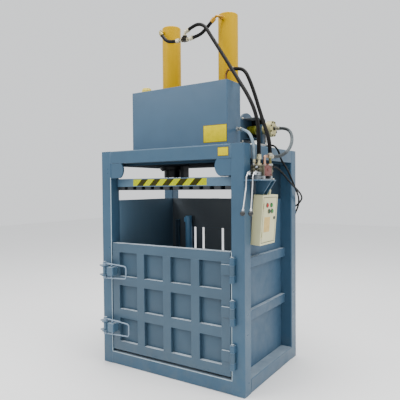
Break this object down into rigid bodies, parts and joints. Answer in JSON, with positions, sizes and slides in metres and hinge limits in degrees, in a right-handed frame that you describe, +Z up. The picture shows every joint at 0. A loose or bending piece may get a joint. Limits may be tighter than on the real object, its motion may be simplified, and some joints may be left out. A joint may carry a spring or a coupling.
{
  "type": "vertical baling press",
  "caption": "Vertical waste baler: hydraulic cylinders press a platen down into a steel chamber with a latched front door.",
  "frame": {"origin": "centre of the frame footprint, on the floor under the middle cross beam", "axes": "+Z up, -Y towards the operator at the feed door, +X towards the valve bank and control box"},
  "size_m": [1.421, 1.1238, 2.771],
  "materials": {
    "frame_paint": "satin blue-grey paint",
    "panel_paint": "satin blue-grey paint",
    "door_paint": "satin blue-grey paint",
    "platen_paint": "satin blue-grey paint",
    "platen_bar_paint": "dark worn paint",
    "cylinder_paint": "gloss yellow paint",
    "black_paint": "semi-gloss black paint",
    "rod_chrome": "polished",
    "bright_steel": "zinc plated",
    "tank_paint": "satin blue paint",
    "cap_plastic": "pale yellow",
    "motor_paint": "painted casting",
    "coupling_paint": "yellow-green paint",
    "pump_alloy": "cast, oiled",
    "valve_iron": "red-brown primer",
    "box_paint": "cream powder coat",
    "red_plastic": "gloss",
    "green_plastic": "gloss",
    "fitting_steel": "zinc plated",
    "hose_rubber": "matt black",
    "braid_steel": "grey braid",
    "pale_hose": "pale grey-blue"
  },
  "bodies": {
    "frame": {"base_beams": "frame_paint", "chamber_floor": "panel_paint", "control_box": "box_paint", "control_cable": "hose_rubber", "corner_gussets": "frame_paint", "cylinder_deck": "frame_paint", "cylinder_heads": "black_paint", "cylinder_left": "cylinder_paint", "cylinder_right": "cylinder_paint", "drive_base": "frame_paint", "gear_pump": "pump_alloy", "hinge_knuckles": "frame_paint", "hose_fittings": "fitting_steel", "hose_left_cylinder": "hose_rubber", "hose_lower_port": "hose_rubber", "hose_pressure": "braid_steel", "hose_right_cylinder": "hose_rubber", "hose_supply": "hose_rubber", "hose_tank": "pale_hose", "hose_tee": "fitting_steel", "latch_lugs": "frame_paint", "lower_port_pipe": "bright_steel", "motor": "motor_paint", "oil_tank": "tank_paint", "pivot_pins": "bright_steel", "platen_stop": "platen_bar_paint", "post_front_left": "frame_paint", "post_front_right": "frame_paint", "post_rear_left": "frame_paint", "post_rear_right": "frame_paint", "rear_slot_bars": "panel_paint", "rear_uprights": "panel_paint", "suction_pipe": "bright_steel", "top_beams": "frame_paint", "top_cover": "frame_paint", "valve_body": "valve_iron", "valve_shelf": "frame_paint", "wall_left": "panel_paint", "wall_rear": "panel_paint", "wall_right": "panel_paint"},
    "door": {"door_panel": "door_paint", "door_hinge_leaves": "door_paint", "door_keepers": "door_paint"},
    "latch_upper": {"latch_upper": "door_paint"},
    "latch_lower": {"latch_lower": "door_paint"},
    "platen": {"platen_plate": "platen_paint", "platen_bars": "platen_bar_paint", "piston_rod_left": "rod_chrome", "piston_rod_right": "rod_chrome"},
    "lever_inner": {"valve_lever_inner": "bright_steel"},
    "lever_outer": {"valve_lever_outer": "bright_steel"},
    "control_door": {"control_door": "box_paint"},
    "button_stop": {"button_stop": "red_plastic"},
    "button_start": {"button_start": "green_plastic"},
    "button_down": {"button_down": "green_plastic"},
    "button_up": {"button_up": "green_plastic"},
    "key_lock": {"key_lock": "bright_steel"},
    "drive_coupling": {"drive_coupling": "coupling_paint"},
    "filler_cap": {"filler_cap": "cap_plastic"}
  },
  "joints": [
    {"name": "door_swing", "type": "hinge", "parent": "frame", "child": "door", "pos_m": [0.568, -0.49, 0.56], "axis": [0, 0, 1], "range_deg": [0, 110]},
    {"name": "latch_upper_swing", "type": "hinge", "parent": "frame", "child": "latch_upper", "pos_m": [-0.58, -0.52, 0.762], "axis": [0, 0, -1], "range_deg": [0, 105]},
    {"name": "latch_lower_swing", "type": "hinge", "parent": "frame", "child": "latch_lower", "pos_m": [-0.58, -0.52, 0.314], "axis": [0, 0, -1], "range_deg": [0, 105]},
    {"name": "platen_press", "type": "slide", "parent": "frame", "child": "platen", "axis": [0, 0, -1], "range_m": [0, 0.85]},
    {"name": "lever_inner_tilt", "type": "hinge", "parent": "frame", "child": "lever_inner", "pos_m": [0.68, -0.441, 1.509], "axis": [1, 0, 0], "range_deg": [-15, 15], "stiffness_Nm_per_rad": 40},
    {"name": "lever_outer_tilt", "type": "hinge", "parent": "frame", "child": "lever_outer", "pos_m": [0.726, -0.441, 1.509], "axis": [1, 0, 0], "range_deg": [-15, 15], "stiffness_Nm_per_rad": 40},
    {"name": "control_door_swing", "type": "hinge", "parent": "frame", "child": "control_door", "pos_m": [0.71542, -0.311, 1.19451], "axis": [-0.0802, 0, -0.9968], "range_deg": [0, 110]},
    {"name": "button_stop_press", "type": "slide", "parent": "control_door", "child": "button_stop", "axis": [-0.9968, 0, 0.0802], "range_m": [0, 0.004], "stiffness_N_per_m": 300},
    {"name": "button_start_press", "type": "slide", "parent": "control_door", "child": "button_start", "axis": [-0.9968, 0, 0.0802], "range_m": [0, 0.004], "stiffness_N_per_m": 300},
    {"name": "button_down_press", "type": "slide", "parent": "control_door", "child": "button_down", "axis": [-0.9968, 0, 0.0802], "range_m": [0, 0.004], "stiffness_N_per_m": 300},
    {"name": "button_up_press", "type": "slide", "parent": "control_door", "child": "button_up", "axis": [-0.9968, 0, 0.0802], "range_m": [0, 0.004], "stiffness_N_per_m": 300},
    {"name": "key_turn", "type": "hinge", "parent": "control_door", "child": "key_lock", "pos_m": [0.71154, -0.125, 1.19984], "axis": [0.9968, 0, -0.0802], "range_deg": [0, 90]},
    {"name": "coupling_spin", "type": "hinge", "parent": "frame", "child": "drive_coupling", "pos_m": [0.36, 0.25, 1.887], "axis": [1, 0, 0], "continuous": true},
    {"name": "cap_turn", "type": "hinge", "parent": "frame", "child": "filler_cap", "pos_m": [-0.39, -0.1988, 2.2], "axis": [0, 0, 1], "range_deg": [0, 90]}
  ]
}
